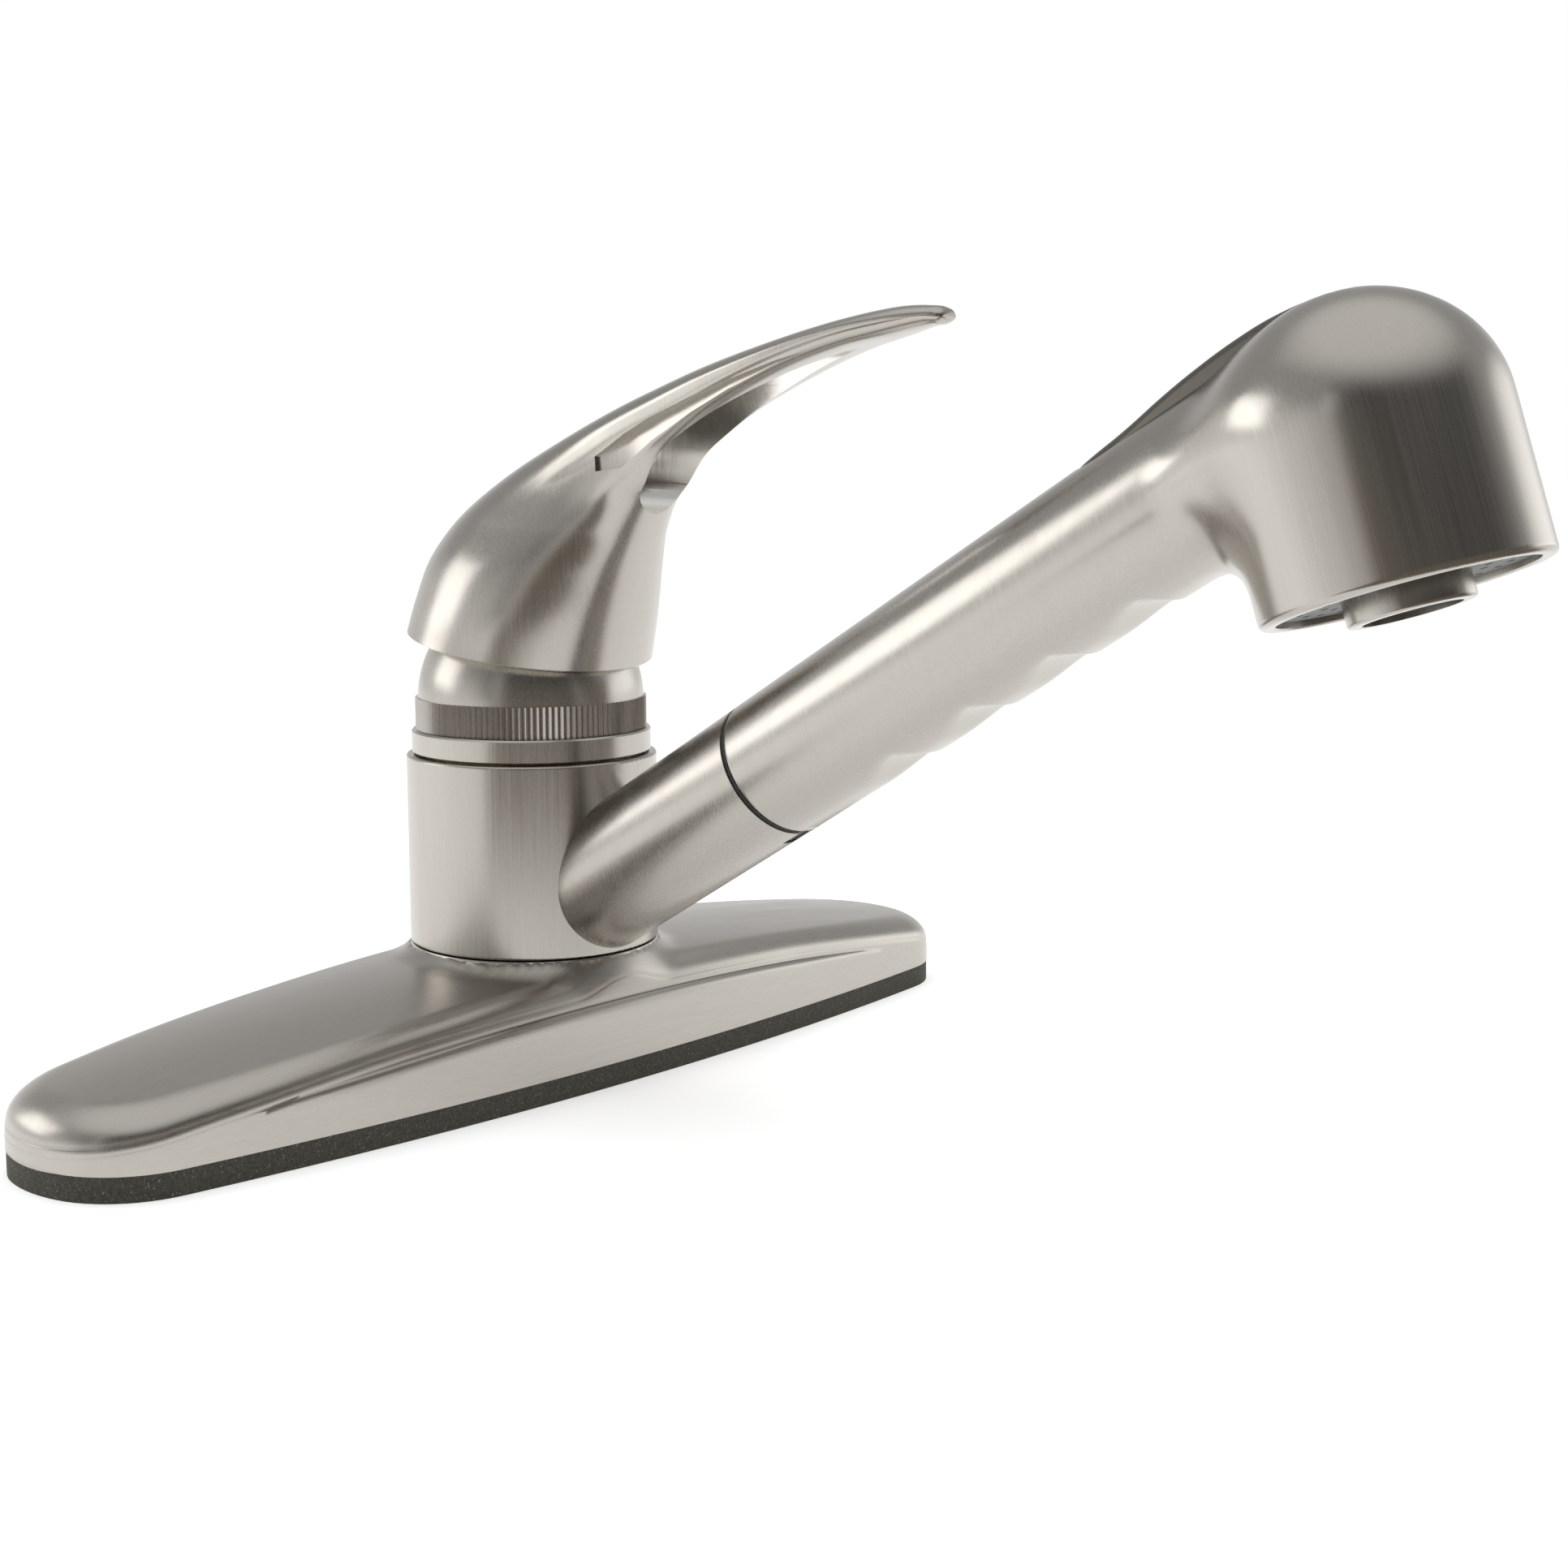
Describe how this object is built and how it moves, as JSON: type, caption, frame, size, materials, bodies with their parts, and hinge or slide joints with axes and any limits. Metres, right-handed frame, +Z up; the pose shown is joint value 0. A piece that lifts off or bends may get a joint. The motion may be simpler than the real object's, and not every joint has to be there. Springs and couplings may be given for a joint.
{
  "type": "pull-out kitchen faucet",
  "caption": "Single-lever kitchen faucet on a long low deck plate: slanted spout arm, pull-out spray head with finger grooves and a thumb rocker, looped lever handle.",
  "frame": {"origin": "on the deck surface, under the hub axis, midway between the two mounting studs", "axes": "+X along the deck plate, -Y towards the user (the spout points that way), +Z up"},
  "size_m": [0.26, 0.2666, 0.221],
  "materials": {
    "brushed_nickel": "satin brushed warm nickel",
    "matte_nickel": "matte darker nickel",
    "brass": "machined",
    "zinc_steel": "zinc plated",
    "gasket_rubber": "matte, faintly speckled",
    "seal_rubber": "smooth",
    "cartridge_plastic": "moulded",
    "dark_plastic": "moulded",
    "ceramic": "lapped"
  },
  "bodies": {
    "base": {"body_screws": "zinc_steel", "bonnet_ring": "brushed_nickel", "cartridge_base": "cartridge_plastic", "cartridge_housing": "cartridge_plastic", "cartridge_nut": "brass", "cold_inlet": "brass", "deck_gasket": "gasket_rubber", "deck_plate": "brushed_nickel", "dome_cap": "brushed_nickel", "fixed_disc": "ceramic", "hose_outlet": "brass", "hot_inlet": "brass", "hub_orings": "seal_rubber", "mounting_bracket": "zinc_steel", "mounting_studs": "brass", "port_seals": "seal_rubber", "stud_washers": "zinc_steel", "valve_body": "brass", "wing_nuts": "brass"},
    "spout": {"spout_hub": "brushed_nickel", "dock_bush": "dark_plastic", "lower_bearing": "cartridge_plastic", "upper_bearing": "cartridge_plastic"},
    "carrier": {"stem_rotor": "cartridge_plastic", "pivot_pin": "zinc_steel"},
    "disc": {"moving_disc": "ceramic", "disc_coupler": "cartridge_plastic"},
    "lever": {"handle": "brushed_nickel", "lever_stem": "zinc_steel", "set_screw": "zinc_steel"},
    "spray": {"spray_shell": "brushed_nickel", "spray_inlet": "brass", "spray_key": "dark_plastic", "check_valve": "cartridge_plastic", "hose_washer": "seal_rubber", "grip_tube": "cartridge_plastic", "diverter_housing": "cartridge_plastic", "spray_face": "dark_plastic", "aerator_ring": "brushed_nickel", "aerator_insert": "dark_plastic", "rocker_pin": "zinc_steel", "diverter_spring": "zinc_steel"},
    "rocker": {"rocker": "matte_nickel"},
    "plunger": {"diverter_plunger": "cartridge_plastic"}
  },
  "joints": [
    {"name": "spout_swivel", "type": "hinge", "parent": "base", "child": "spout", "pos_m": [0, 0, 0.0305], "axis": [0, 0, 1], "range_deg": [-60, 60]},
    {"name": "lever_swing", "type": "hinge", "parent": "base", "child": "carrier", "pos_m": [0, 0, 0.0834], "axis": [0, 0, 1], "range_deg": [-45, 45]},
    {"name": "lever_lift", "type": "hinge", "parent": "carrier", "child": "lever", "pos_m": [0, 0, 0.0834], "axis": [-1, 0, 0], "range_deg": [0, 25]},
    {"name": "disc_slide", "type": "slide", "parent": "carrier", "child": "disc", "axis": [0, -1, 0], "range_m": [0, 0.0037]},
    {"name": "spray_pull", "type": "slide", "parent": "spout", "child": "spray", "axis": [0, -0.8603, 0.5098], "range_m": [0, 0.45]},
    {"name": "rocker_tilt", "type": "hinge", "parent": "spray", "child": "rocker", "pos_m": [0, -0.17886, 0.14645], "axis": [-1, 0, 0], "range_deg": [0, 6]},
    {"name": "diverter_slide", "type": "slide", "parent": "spray", "child": "plunger", "axis": [0, 0.319, 0.9478], "range_m": [0, 0.0024], "deforming": ["diverter_spring"]}
  ],
  "couplings": [
    {"joint": "disc_slide", "follows": "lever_lift", "m_per_rad": 0.00832},
    {"joint": "diverter_slide", "follows": "rocker_tilt", "m_per_rad": 0.019}
  ]
}
